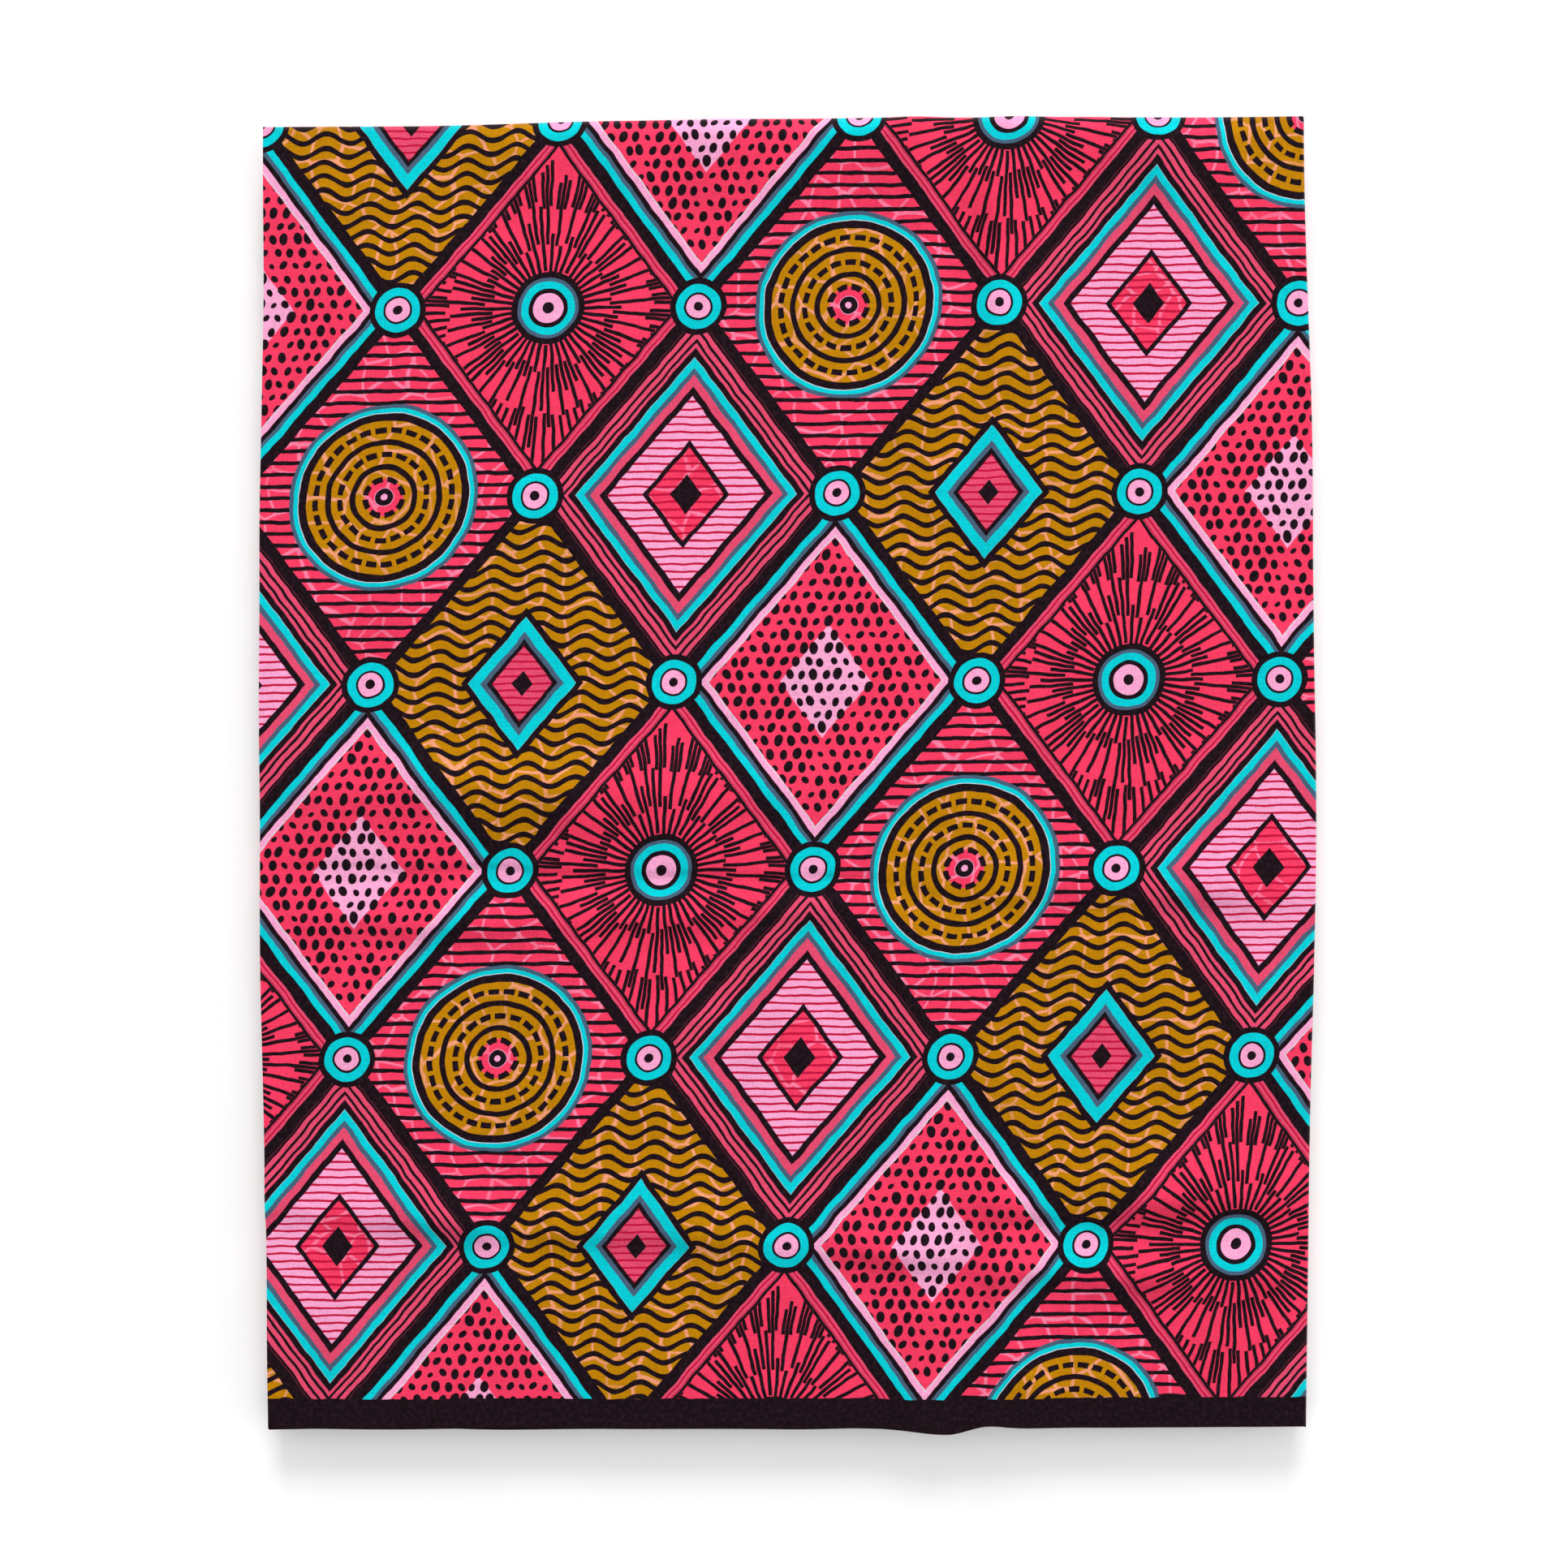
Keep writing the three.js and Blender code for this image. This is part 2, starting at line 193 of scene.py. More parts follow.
# How far each panel has slipped in at its selvedges and at its middle fold.
SLIPS = {
    1: {"selvedge": 0.0, "fold": 0.0},
    2: {"selvedge": 0.9, "fold": 0.8},
    3: {"selvedge": 1.6, "fold": 0.3},
    4: {"selvedge": 0.5, "fold": 1.1},
    5: {"selvedge": 1.3, "fold": 0.6},
    6: {"selvedge": 2.1, "fold": 0.9},
    7: {"selvedge": 0.8, "fold": 0.4},
    8: {"selvedge": 1.5, "fold": 1.2},
    9: {"selvedge": 0.6, "fold": 0.7},
    10: {"selvedge": 1.8, "fold": 0.5},
    11: {"selvedge": 1.1, "fold": 1.0},
    12: {"selvedge": 0.0, "fold": 0.0},
}
# How far each turn has slipped in, by the panel that it comes down from. Odd ones are at +X, even ones at
# -X.
TURN_SLIPS = {1: 0.0, 2: 1.0, 3: 1.4, 4: 0.5, 5: 0.7, 6: 1.5, 7: 1.7, 8: 0.8, 9: 1.1, 10: 1.3, 11: 0.0}
EDGE_WANDER = 0.9  # how far the panels' turns and middle folds wander from straight
SELVEDGE_WANDER = 1.1  # how far their selvedges do
WANDER_REACH = 70.0  # how far in from an edge its wander goes

# Where each cloth's surface is divided: no steps longer than "step" between the two ends of a band.
TOP_RUN_BANDS = (
    {"from": -HALF_LENGTH, "to": -222, "step": 1.6},
    {"from": -222, "to": 48, "step": 3.4},
    {"from": 48, "to": 110, "step": 1.9},
    {"from": 110, "to": 212, "step": 3.4},
    {"from": 212, "to": TURN_X, "step": 1.6},
)
TOP_PLY_BANDS = (
    {"from": -HALF_WIDTH, "to": -270, "step": 1.8},
    {"from": -270, "to": -236, "step": 3.2},
    {"from": -236, "to": -180, "step": 1.6},
    {"from": -180, "to": -70, "step": 3.4},
    {"from": -70, "to": -56, "step": 1.4},
    {"from": -56, "to": -50, "step": 2.0},
    {"from": -50, "to": -36, "step": 1.4},
    {"from": -36, "to": 262, "step": 3.4},
    {"from": 262, "to": FOLD_Y, "step": 1.8},
)
UNDER_PLY_BANDS = (
    {"from": -HALF_WIDTH, "to": -255, "step": 3},
    {"from": -255, "to": 258, "step": 27},
    {"from": 258, "to": FOLD_Y, "step": 3},
)
HIDDEN_RUN_BANDS = (
    {"from": -HALF_LENGTH, "to": -200, "step": 10},
    {"from": -200, "to": 200, "step": 25},
    {"from": 200, "to": HALF_LENGTH, "step": 10},
)
HIDDEN_PLY_BANDS = (
    {"from": -HALF_WIDTH, "to": -270, "step": 6},
    {"from": -270, "to": 270, "step": 24},
    {"from": 270, "to": FOLD_Y, "step": 6},
)
BOTTOM_RUN_BANDS = ({"from": -HALF_LENGTH, "to": HALF_LENGTH, "step": 7},)
BOTTOM_PLY_BANDS = ({"from": -HALF_WIDTH, "to": FOLD_Y, "step": 5},)
TURN_STEPS = 10
FOLD_STEPS = 8
SIDE_STEPS = 200  # along a side, to find its outermost point
SMOOTH_ANGLE = 40.0  # edges blunter than this are shaded smooth

Station = namedtuple("Station", "x z out_x out_z panel")


# ---------------------------------------------------------------- shape of the folded piece


def mix(low, high, share):
    return low + (high - low) * share


def bell(distance, reach):
    return math.exp(-((distance / reach) ** 2))


def smooth(share):
    share = min(1.0, max(0.0, share))
    return share * share * (3 - 2 * share)


def lines_of(bands):
    """Values from the first band's start to the last band's end."""
    lines = []
    for band in bands:
        count = math.ceil((band["to"] - band["from"]) / band["step"])
        lines += [mix(band["from"], band["to"], index / count) for index in range(count)]
    return lines + [bands[-1]["to"]]


def stand_off(side, share):
    row = SIDES[side]
    bow = row["bow"] * max(0.0, 4 * share * (1 - share)) ** BOW_POWER
    return mix(row["start"], row["end"], share) + bow


def true_place(plain_x, plain_y):
    """Where a point of the plain rectangle lies in the stack's true outline."""
    along_x = (plain_x + HALF_LENGTH) / PANEL_LENGTH
    along_y = (plain_y + HALF_WIDTH) / PANEL_WIDTH
    x = plain_x + mix(-stand_off("left", along_y), stand_off("right", along_y), along_x)
    y = plain_y + mix(-stand_off("front", along_x), stand_off("back", along_x), along_y)
    return x + shift_x, y + shift_y


def panel_height(panel):
    """Height of the middle of a panel, panel 12 lying on the floor."""
    return (PANELS - panel) * PITCH + PANEL_THICK / 2


def slip(panel, edge):
    """How far in a panel is at one of its edges, going over smoothly from panel to panel at a turn."""
    upper = min(int(panel), PANELS - 1)
    return mix(SLIPS[upper][edge], SLIPS[upper + 1][edge], smooth(panel - upper))


def run(panel, from_x, to_x, bands):
    """Stations along a flat panel, from one of its ends to the other. Odd panels face up, even ones down."""
    facing = 1 if panel % 2 else -1
    inner = [x for x in lines_of(bands) if min(from_x, to_x) < x < max(from_x, to_x)]
    places = sorted([from_x, *inner, to_x], reverse=from_x > to_x)
    return [Station(x, panel_height(panel), 0.0, float(facing), float(panel)) for x in places]


def turn(upper):
    """Stations round the turn from a panel to the one below it."""
    side = 1 if upper % 2 else -1
    centre_x = side * (TURN_X - TURN_SLIPS[upper])
    centre_z = panel_height(upper) - TURN_RADIUS
    stations = []
    for step in range(1, TURN_STEPS):
        angle = math.pi * step / TURN_STEPS
        x = centre_x + side * TURN_RADIUS * math.sin(angle)
        z = centre_z + TURN_RADIUS * math.cos(angle)
        out = (math.sin(angle), side * math.cos(angle))
        stations.append(Station(x, z, out[0], out[1], upper + step / TURN_STEPS))
    return stations


def crease_height(crease, x, y):
    """Height that one crease gives to a point, from the stretch of its path that is nearest."""
    stretches = []
    for (from_x, from_y, from_rise), (to_x, to_y, to_rise) in zip(crease["path"], crease["path"][1:]):
        run_x, run_y = to_x - from_x, to_y - from_y
        length = math.hypot(run_x, run_y)
        along = ((x - from_x) * run_x + (y - from_y) * run_y) / length
        across = ((y - from_y) * run_x - (x - from_x) * run_y) / length
        past = max(0.0, -along, along - length)
        rise = mix(from_rise, to_rise, min(1.0, max(0.0, along / length)))
        stretches.append((math.hypot(across, past), across, past, rise))
    _, across, past, rise = min(stretches)
    left, right = crease["reach"]
    return rise * bell(across, left if across > 0 else right) * bell(past, max(left, right))


def creases_height(creases, x, y):
    """Height that all the creases give to a point, each a little astray and of uneven height."""
    stray_x = CREASE_WANDER * noise.noise(Vector((x / 26, y / 34, 21.5)))
    stray_y = CREASE_WANDER * noise.noise(Vector((x / 34, y / 26, 31.5)))
    share = 1 + CREASE_SHARE * noise.noise(Vector((x / 24, y / 40, 41.5)))
    return share * sum(crease_height(crease, x + stray_x, y + stray_y) for crease in creases)


def unevenness(x, y):
    """Gentle rises and falls that pressing has left in the cloth."""
    broad = noise.noise(Vector((x / 95, y / 70, 3.1)))
    fine = noise.noise(Vector((x / 30, y / 22, 8.7)))
    return BROAD_RISE * broad + FINE_RISE * fine


def top_rise(plain_x, x, y):
    across_length = 1 - min(1.0, abs(x) / HALF_LENGTH) ** CROWN_POWER
    across_width = 1 - min(1.0, abs(y) / HALF_WIDTH) ** CROWN_POWER
    crown = (CROWN + unevenness(x, y)) * across_length * across_width
    creases = creases_height(CREASES, x, y)
    clear_of_turn = smooth((HALF_LENGTH - plain_x - TURN_REACH) / (FLAT_AT_TURN - TURN_REACH))
    return max(0.0, crown + creases) * clear_of_turn


def front_bulge(x, plain_y):
    """How far a point is pushed out to the front."""
    pushed = 0.0
    for row in FRONT_BULGES:
        reach = row["reach_left"] if x < row["x"] else row["reach_right"]
        pushed += row["out"] * bell(x - row["x"], reach)
    return pushed * bell(plain_y + HALF_WIDTH, BULGE_DEPTH)


def top_shape(station, plain_x, plain_y, ply):
    """Rise and forward push of a point of the top panel."""
    if station.panel > 1:
        return 0.0, 0.0
    x, y = true_place(plain_x, plain_y)
    bulge = front_bulge(x, plain_y)
    rise = top_rise(plain_x, x, y)
    if ply < 0:
        rise *= max(bell(plain_y + HALF_WIDTH, LIFT_REACH), bell(plain_y - FOLD_Y, LIFT_REACH))
    else:
        gape = GAPE + GAPE * noise.noise(Vector((x / 38, 5.5, 0.0)))
        rise += gape * bell(plain_y + HALF_WIDTH, GAPE_REACH)
        curl = CURL + CURL * noise.noise(Vector((2.5, y / 45, 0.0)))
        rise += curl * bell(plain_x + HALF_LENGTH, CURL_REACH)
    return rise, bulge


def hidden_shape(station, plain_x, plain_y, ply):
    """A hidden panel neither rises nor is pushed."""
    return 0.0, 0.0


def bottom_shape(station, plain_x, plain_y, ply):
    """The bottom panel is pressed up in places, and otherwise flat on the floor."""
    if station.panel < PANELS:
        return 0.0, 0.0
    clear_of_turn = smooth((HALF_LENGTH - plain_x - TURN_REACH) / (FLAT_AT_TURN - TURN_REACH))
    return clear_of_turn * creases_height(UNDER_CREASES, plain_x, plain_y), 0.0


def edge_wander(panel, plain_x, plain_y, ply):
    """How the edges of the panels wander from straight, in X and in Y."""
    turn_right = int(panel) if int(panel) % 2 else int(panel) - 1
    turn_left = int(panel) if int(panel) % 2 == 0 else int(panel) - 1
    near_right = smooth(1 - (HALF_LENGTH - plain_x) / WANDER_REACH)
    near_left = smooth(1 - (HALF_LENGTH + plain_x) / WANDER_REACH)
    near_front = smooth(1 - (HALF_WIDTH + plain_y) / WANDER_REACH)
    near_back = smooth(1 - (HALF_WIDTH - plain_y) / WANDER_REACH)
    right = noise.noise(Vector((plain_y / 85, turn_right * 3.7, 1.5)))
    left = noise.noise(Vector((plain_y / 85, turn_left * 3.7, 6.5)))
    back = noise.noise(Vector((plain_x / 85, panel * 2.3, 11.5)))
    front = noise.noise(Vector((plain_x / 60, panel * 2.3, 16.5 + ply)))
    wander_x = EDGE_WANDER * (right * near_right + left * near_left)
    wander_y = EDGE_WANDER * back * near_back + SELVEDGE_WANDER * front * near_front
    return wander_x, wander_y


def cloth_point(station, across, shape):
    """Where a point of the folded cloth lies, in metres. across is its distance from the middle fold's line,
    positive on the ply that is the upper one of panel 1."""
    past_fold = abs(across) - FOLD_ARC
    front_y = -HALF_WIDTH + slip(station.panel, "selvedge")
    back_y = FOLD_Y - slip(station.panel, "fold")
    ply = math.copysign(1.0, across)
    if past_fold > 0:
        plain_y = mix(back_y, front_y, past_fold / (PANEL_WIDTH - FOLD_ARC))
        offset = ply * PLY_OFFSET
    else:
        angle = across / PLY_OFFSET
        plain_y = back_y + PLY_OFFSET * math.cos(angle)
        offset = PLY_OFFSET * math.sin(angle)
    plain_x = station.x + offset * station.out_x
    z = station.z + offset * station.out_z
    wander_x, wander_y = edge_wander(station.panel, plain_x, plain_y, ply)
    x, y = true_place(plain_x + wander_x, plain_y + wander_y)
    rise, bulge = shape(station, plain_x, plain_y, ply)
    return x * MM, (y - bulge) * MM, (z + rise) * MM


def across_lines(upper_bands, lower_bands):
    """Distances across the cloth from the middle fold's line, from one selvedge to the other."""

    def ply_lines(bands):
        share = [(FOLD_Y - y) / (FOLD_Y + HALF_WIDTH) for y in lines_of(bands)]
        return [FOLD_ARC + s * (PANEL_WIDTH - FOLD_ARC) for s in share]

    lower = [-distance for distance in ply_lines(lower_bands)]
    fold = [mix(-FOLD_ARC, FOLD_ARC, step / FOLD_STEPS) for step in range(1, FOLD_STEPS)]
    upper = sorted(ply_lines(upper_bands))
    return lower + fold + upper


def select_only(piece):
    bpy.ops.object.select_all(action="DESELECT")
    piece.select_set(True)
    bpy.context.view_layer.objects.active = piece


def folded_cloth(name, stations, across, shape, cut_start):
    """A stretch of the cloth, laid out flat as a grid and then folded. Returns it, and where it ends along
    the cut, in millimetres."""
    bpy.ops.object.select_all(action="DESELECT")
    columns, rows = len(stations), len(across)
    bpy.ops.mesh.primitive_grid_add(
        x_subdivisions=columns - 1, y_subdivisions=rows - 1, size=1, calc_uvs=True,
    )
    piece = bpy.context.object
    piece.name = piece.data.name = name
    mesh = piece.data
    along = [cut_start]
    for here, there in zip(stations, stations[1:]):
        along.append(along[-1] + math.hypot(there.x - here.x, there.z - here.z))
    flat_places = []
    folded_places = []
    creased = []
    for vertex in mesh.vertices:
        column = round((vertex.co.x + 0.5) * (columns - 1))
        row = round((vertex.co.y + 0.5) * (rows - 1))
        station = stations[column]
        flat_places.append((along[column] * MM, across[row] * MM))
        folded_places.extend(cloth_point(station, across[row], shape))
        at_turn = abs(station.out_x)
        at_fold = max(0.0, 1 - abs(across[row]) / (2 * FOLD_ARC))
        creased.append(max(at_turn, at_fold))
    mesh.vertices.foreach_set("co", folded_places)
    cut = mesh.uv_layers.active
    cut.name = "cut"
    cut.uv.foreach_set("vector", [part for loop in mesh.loops for part in flat_places[loop.vertex_index]])
    mesh.attributes.new("creased", "FLOAT", "POINT").data.foreach_set("value", creased)
    mesh.update()
    select_only(piece)
    solidify = piece.modifiers.new("ply", "SOLIDIFY")
    solidify.thickness = PLY_THICK * MM
    solidify.offset = 0
    bpy.ops.object.modifier_apply(modifier=solidify.name)
    bpy.ops.object.shade_smooth_by_angle(angle=math.radians(SMOOTH_ANGLE))
    return piece, along[-1]


def fit_to_frame():
    """How far the plain rectangle's middle is from the frame's origin, from the bottom panel's box."""
    _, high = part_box("bottom_panel")
    shares = [step / SIDE_STEPS for step in range(SIDE_STEPS + 1)]
    right = HALF_LENGTH + max(stand_off("right", share) for share in shares)
    back = HALF_WIDTH + max(stand_off("back", share) for share in shares)
    return high[0] / MM - right, high[1] / MM - back


shift_x, shift_y = fit_to_frame()


# ---------------------------------------------------------------- the print and the weave


LIGHT_LEVEL = 1.36  # what the lamps would give back from a white cloth, where 1 is full white


def linear(red, green, blue):
    """A dye, from the colour that it has under the lamps, each part 0 to 255."""

    def channel(value):
        value /= 255
        value = value / 12.92 if value <= 0.04045 else ((value + 0.055) / 1.055) ** 2.4
        return value / LIGHT_LEVEL

    return channel(red), channel(green), channel(blue), 1.0


CRIMSON = linear(250, 60, 99)
DULL_CRIMSON = linear(231, 76, 112)
DEEP_CRIMSON = linear(198, 14, 62)
PALE_PINK = linear(252, 168, 211)
OCHRE = linear(192, 129, 0)
TURQUOISE = linear(0, 207, 217)
BLACK = linear(22, 9, 17)
# A lighter black, used for painted sheen on the ink.
SHEENED_BLACK = linear(46, 26, 36)
PEACH = linear(246, 160, 122)
ROSE = linear(255, 132, 168)
SLATE = linear(72, 98, 122)
BARE = linear(214, 214, 226)
RUBBED = linear(235, 205, 205)  # where a fold has worn the dye

THREAD = 0.36  # from one thread of the weave to the next
INK_EDGE = 0.22  # width over which an edge of the print goes from one colour to the next
LEAN = math.tan(math.radians(3.9))  # the print isn't quite square with the cloth
LOZENGE_WIDE = 132.0
LOZENGE_TALL = 165.0
LOZENGE_GAP = LOZENGE_WIDE * LOZENGE_TALL / math.hypot(LOZENGE_WIDE, LOZENGE_TALL)  # between opposite sides
NET_LINE = 5.0  # width of the black lines between the lozenges
SELVEDGE = 12.6  # the bare dark band along each selvedge
WAVE_LENGTH = 21.0  # of the ripples, and how far they rise
WAVE_RISE = 2.1
RAYS = 44  # in each of the two inner rounds, and half as many as in the outer one
SEED_WIDE = 5.4  # of the cell that holds one seed
SEED_TALL = 5.8
RING_PITCH = 5.4  # from one ring to the next
STUD_RIM = (9.8, 12.4)  # radii of the black rim of the stud at each crossing of the net
STUD_LINE = (5.2, 6.2)  # of the black line round its eye
STUD_EYE = 5.6
STUD_DOT = 2.0
UNDER_BLACK = 0.4  # how far a colour runs on under the black beside it
STRAY = 1.4  # how far the printed lines stray
CRACK_CELL = 13.0  # from one crackle vein to the next, and how far a vein bends
CRACK_BEND = 11.0

# What each unevenness of the cloth does to its tone and to its surface.
TONES = {"weave": 0.04, "speckle": 0.5, "slubs": 0.3, "ribs": 0.3, "dye": 0.3}
HEIGHTS = {"weave": 0.35, "slubs": 1.3, "ribs": 0.9, "dye": 3.0}
BUMP_HEIGHT = 0.12
COTTON_ROUGHNESS = 0.82
WORN = 0.06  # share of the dye that is worn off along a fold


class Measure:
    """A number that varies over the cloth. Arithmetic on it adds the nodes that work it out."""

    def __init__(self, socket):
        self.socket = socket

    def worked(self, operation, *others, clamp=False):
        tree = self.socket.id_data
        node = tree.nodes.new("ShaderNodeMath")
        node.operation = operation
        node.use_clamp = clamp
        for entry, value in zip(node.inputs, (self, *others)):
            feed(tree, value, entry)
        return Measure(node.outputs[0])

    def __add__(self, other):
        return self.worked("ADD", other)

    def __sub__(self, other):
        return self.worked("SUBTRACT", other)

    def __mul__(self, other):
        return self.worked("MULTIPLY", other)

    def __truediv__(self, other):
        return self.worked("DIVIDE", other)

    def __mod__(self, other):
        return self.worked("FLOORED_MODULO", other)

    def __rsub__(self, other):
        return self.worked("MULTIPLY_ADD", -1.0, other)

    __radd__ = __add__
    __rmul__ = __mul__

    def __abs__(self):
        return self.worked("ABSOLUTE")

    def __or__(self, other):
        return self.worked("MAXIMUM", other)

    def __and__(self, other):
        return self.worked("MULTIPLY", other)

    def floor(self):
        return self.worked("FLOOR")

    def sine(self):
        return self.worked("SINE")

    def from_line(self, pitch):
        """Distance to the nearest of the lines that lie a pitch apart."""
        return self.worked("PINGPONG", pitch / 2)

    def under(self, limit):
        """1 where this is below the limit, and 0 above it."""
        return self.worked("MULTIPLY_ADD", -1 / INK_EDGE, limit / INK_EDGE + 0.5, clamp=True)

    def over(self, limit):
        return self.worked("MULTIPLY_ADD", 1 / INK_EDGE, 0.5 - limit / INK_EDGE, clamp=True)

    def between(self, low, high):
        return abs(self - (low + high) / 2).under((high - low) / 2)

    def lines(self, pitch, thick):
        return self.from_line(pitch).under(thick / 2)


def feed(tree, value, entry):
    if isinstance(value, Measure):
        tree.links.new(value.socket, entry)
    elif isinstance(value, bpy.types.NodeSocket):
        tree.links.new(value, entry)
    else:
        entry.default_value = value


def add_node(tree, kind, settings=None, **entries):
    """A node with its settings and inputs, an input's name written with _ for a space."""
    node = tree.nodes.new(kind)
    for key, value in (settings or {}).items():
        setattr(node, key, value)
    for key, value in entries.items():
        feed(tree, value, node.inputs[key.replace("_", " ")])
    return node


def paint(tree, ground, colour, mask):
    """The ground with a colour over it where the mask is 1."""
    node = tree.nodes.new("ShaderNodeMix")
    node.data_type = "RGBA"
    factor, under, over = node.inputs[0], node.inputs[6], node.inputs[7]
    feed(tree, mask, factor)
    feed(tree, ground, under)
    feed(tree, colour, over)
    return node.outputs[2]


def point_at(tree, *parts):
    node = tree.nodes.new("ShaderNodeCombineXYZ")
    for entry, part in zip(node.inputs, parts):
        feed(tree, part, entry)
    return node.outputs[0]


def parts_of(tree, vector):
    node = tree.nodes.new("ShaderNodeSeparateXYZ")
    tree.links.new(vector, node.inputs[0])
    return [Measure(socket) for socket in node.outputs]


def length_of(tree, *parts):
    node = add_node(tree, "ShaderNodeVectorMath", {"operation": "LENGTH"})
    tree.links.new(point_at(tree, *parts), node.inputs[0])
    return Measure(node.outputs["Value"])


def noise_at(tree, vector, scale, detail=2.0, roughness=0.5):
    node = add_node(
        tree, "ShaderNodeTexNoise", {"noise_dimensions": "2D"}, Vector=vector, Scale=scale, Detail=detail,
        Roughness=roughness,
    )
    return node.outputs


# Each filling says where its colours are printed, from a point's place in the lozenge. rim is how far in it
# is from the nearest side, and out is how far it is from the centre. wax_print has the order of the colours.


def ripples(x, y, rim, **_):
    """Wavy bars right across the lozenge, round a small turquoise one."""
    waves = (y + WAVE_RISE * (x * (math.tau / WAVE_LENGTH)).sine()).lines(6.2, 2.5)
    return {
        "ochre": rim.under(60),
        "veined": rim.under(33),
        "ink": (waves & rim.under(31)) | rim.between(30.6, 33.2) | rim.between(39.4, 41.2) | rim.over(48),
        "slate": rim.between(37.4, 39.6),
        "turquoise": rim.between(33, 38.4),
        "dull": rim.over(40),
        "bare": rim.between(32.6, 33.2),
        "deep": y.lines(3.2, 0.9) & rim.over(41),
    }


def spokes(tree, out, angle, count, start, tip, ragged):
    """Rays from the start outwards, each to a tip of its own, up to "ragged" past the first."""
    turns = angle * (count / math.tau)
    ray = (turns + 0.5).floor() % count
    white_noise = add_node(tree, "ShaderNodeTexWhiteNoise", {"noise_dimensions": "1D"}, W=ray + tip)
    chance = Measure(white_noise.outputs["Value"])
    off_ray = turns.from_line(1.0) * (out / count * math.tau)
    return off_ray.under(0.8) & (chance * ragged + tip - out).over(0) & (out - chance * 5).over(start)


def rays(x, y, rim, tree):
    """Ragged rays round a ringed disc, with more of them between the first ones' tips."""
    out = length_of(tree, x, y)
    angle = y.worked("ARCTAN2", x)
    near = spokes(tree, out, angle, RAYS, start=12, tip=26, ragged=22)
    middle = spokes(tree, out, angle + math.pi / RAYS, RAYS, start=24, tip=42, ragged=26)
    far = spokes(tree, out, angle + math.pi / (2 * RAYS), 2 * RAYS, start=43, tip=54, ragged=30)
    return {
        "ink": ((near | middle | far) & rim.over(7.5) & out.over(15)) | out.between(6.6, 8.6)
        | out.between(13.4, 16) | out.under(2.4) | rim.between(6.2, 7.6),
        "slate": out.between(11.8, 13.6),
        "turquoise": out.between(8.4, 12.6),
        "dull": rim.under(6.4),
        "pink": out.under(7),
        "deep": rim.from_line(2.0).under(0.4) & rim.under(6),
    }


def nested(x, y, rim, **_):
    """Lozenges one inside the other."""
    return {
        "ink": (rim.from_line(3.1).under(0.6) & rim.under(11)) | rim.between(11.2, 13.8)
        | rim.between(22, 24.6) | rim.between(36.6, 38.6) | rim.over(46),
        "veined": rim.over(38.6),
        "dull": rim.under(13.8) | rim.between(17, 22.2),
        "bare": rim.between(13.2, 13.9),
        "slate": rim.between(16.8, 18.8),
        "turquoise": rim.between(13.8, 17.2),
        "pink": rim.between(24, 37),
        "deep": y.lines(3.4, 1.0) & (rim.between(24.4, 36.8) | rim.over(38)),
    }


def seeds(x, y, rim, tree):
    """Seeds scattered on crimson, with a turquoise border."""
    row = (y / SEED_TALL).floor()
    shifted = x + (row % 2) * (SEED_WIDE / 2)
    cell_x = (shifted / SEED_WIDE).floor()
    cell = point_at(tree, cell_x, row)
    chance = add_node(tree, "ShaderNodeTexWhiteNoise", {"noise_dimensions": "2D"}, Vector=cell)
    tilt, size, nudge = parts_of(tree, chance.outputs["Color"])
    in_x = shifted - (cell_x + 0.5) * SEED_WIDE + nudge * 1.2 - 0.6
    in_y = y - (row + 0.5) * SEED_TALL + size * 0.8 - 0.4
    slant = tilt * 2.4 - 1.2
    seed = length_of(tree, in_x + in_y * slant, (in_y - in_x * slant) * 0.72) - size * 0.55
    return {
        "ink": (seed.under(1.5) & rim.over(12)) | rim.between(7, 9),
        "slate": rim.between(5.3, 7.2),
        "turquoise": rim.under(5.7),
        "bare": rim.between(11.4, 11.9),
        "pink": rim.between(8.8, 11.6) | rim.over(36),
    }


def rings(x, y, rim, tree):
    """Rings on an ochre disc, every other one broken into beads, and pinstripes in the corners."""
    out = length_of(tree, x, y)
    ring = (out / RING_PITCH).floor()
    bead_count = ring * 5 + 3
    beads = (y.worked("ARCTAN2", x) * bead_count / math.tau).from_line(1.0).worked("GREATER_THAN", 0.14)
    solid = (ring % 2).worked("LESS_THAN", 0.5)
    ringed = (out + RING_PITCH / 2).lines(RING_PITCH, 2.5) & (beads | solid) & out.under(35)
    pinstriped = y.lines(5.2, 1.8) & out.over(41)
    return {
        "ochre": out.between(8.4, 35),
        "veined": rim.under(60),
        "ink": ringed | out.between(34.6, 37.2) | pinstriped,
        "turquoise": out.between(37, 40.2),
        "bare": out.between(36.9, 37.5),
        "slate": out.between(39.4, 41.2),
        "pink": out.under(4.2),
    }


FILLINGS = (ripples, rays, nested, seeds, rings)


